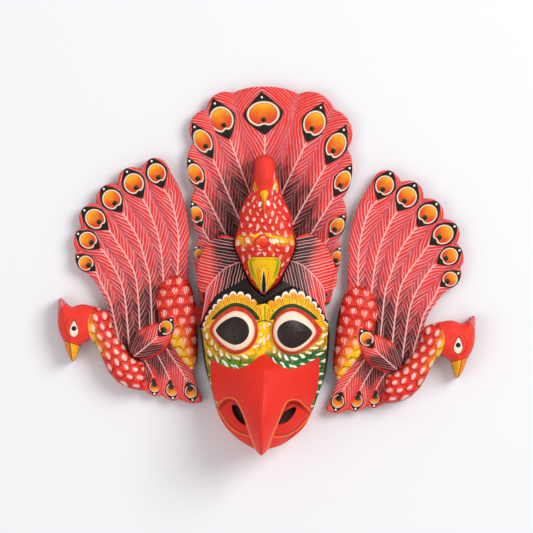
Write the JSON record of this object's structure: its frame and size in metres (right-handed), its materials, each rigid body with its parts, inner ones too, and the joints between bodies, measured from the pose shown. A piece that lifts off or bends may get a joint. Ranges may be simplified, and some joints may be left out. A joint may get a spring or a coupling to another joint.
{
  "type": "garuda mask",
  "caption": "Carved wooden bird mask with a hooked beak, a tall peacock-fan crest carrying a bird, and a peacock in profile at each side.",
  "frame": {"origin": "centre of the lying mask's footprint, on the flat back plane it lies on", "axes": "+Z out of the front of the mask, +Y to the top of the crest, +X to the right as the front is seen"},
  "size_m": [0.4196, 0.3682, 0.1039],
  "materials": {
    "face_wood": "satin paint",
    "crest_wood": "satin paint",
    "side_wood": "satin paint"
  },
  "bodies": {
    "root": {"mask_face": "face_wood", "crest": "crest_wood", "left_peacock": "side_wood", "right_peacock": "side_wood"}
  },
  "joints": []
}
